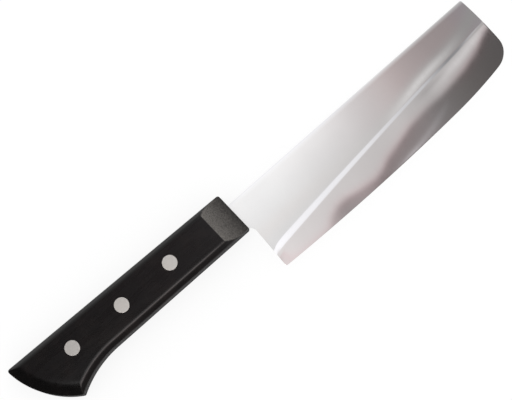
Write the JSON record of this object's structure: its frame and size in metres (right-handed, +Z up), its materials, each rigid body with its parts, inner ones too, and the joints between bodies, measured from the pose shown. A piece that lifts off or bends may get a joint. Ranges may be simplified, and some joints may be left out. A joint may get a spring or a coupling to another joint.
{
  "type": "nakiri knife",
  "caption": "Japanese vegetable knife with a tall squared blade, a ground bevel, and a black riveted handle with a hooked butt and scooped front.",
  "frame": {"origin": "centre of the knife's footprint on the table, with the knife lying on the left side of its handle", "axes": "+X along the blade's spine towards the tip, +Y from the edge towards the spine, +Z up, out of the blade's right side"},
  "size_m": [0.3023, 0.0551, 0.017],
  "materials": {
    "blade_steel": "polished",
    "black_resin_wood": "satin",
    "rivet_steel": "satin"
  },
  "bodies": {
    "root": {"blade": "blade_steel", "handle_half_right": "black_resin_wood", "handle_half_left": "black_resin_wood", "rivet_front_stud": "rivet_steel", "rivet_front_sleeve": "rivet_steel", "rivet_middle_stud": "rivet_steel", "rivet_middle_sleeve": "rivet_steel", "rivet_rear_stud": "rivet_steel", "rivet_rear_sleeve": "rivet_steel"}
  },
  "joints": []
}
